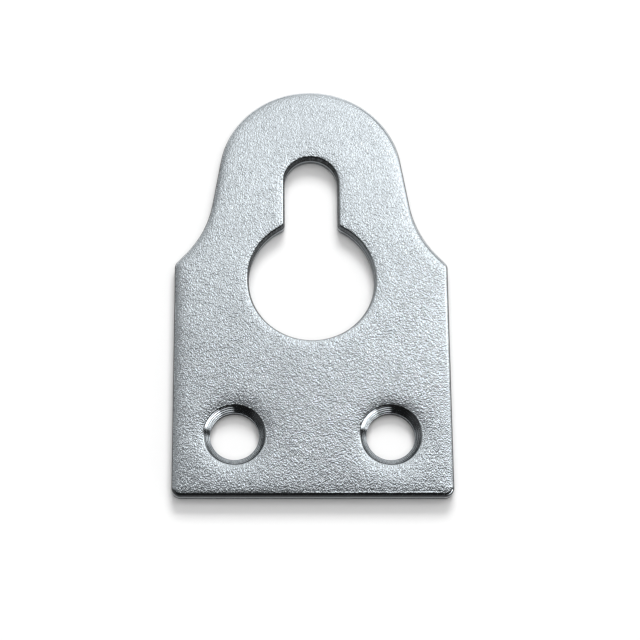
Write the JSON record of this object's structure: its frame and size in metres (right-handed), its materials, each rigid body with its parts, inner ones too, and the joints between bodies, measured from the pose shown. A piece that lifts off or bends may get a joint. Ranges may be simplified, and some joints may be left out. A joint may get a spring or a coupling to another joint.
{
  "type": "keyhole hanger plate",
  "caption": "Flat stamped steel bracket with a round head, a keyhole slot for hanging and countersunk screw holes.",
  "frame": {"origin": "middle of the plate's bounding box, on its flat back face", "axes": "+X across the plate, +Y up the plate from the foot to the round head, +Z out of the countersunk face"},
  "size_m": [0.03, 0.0471, 0.0016],
  "materials": {
    "zinc_plated_steel": "zinc plated, satin, as stamped"
  },
  "bodies": {
    "root": {"keyhole_plate": "zinc_plated_steel"}
  },
  "joints": []
}
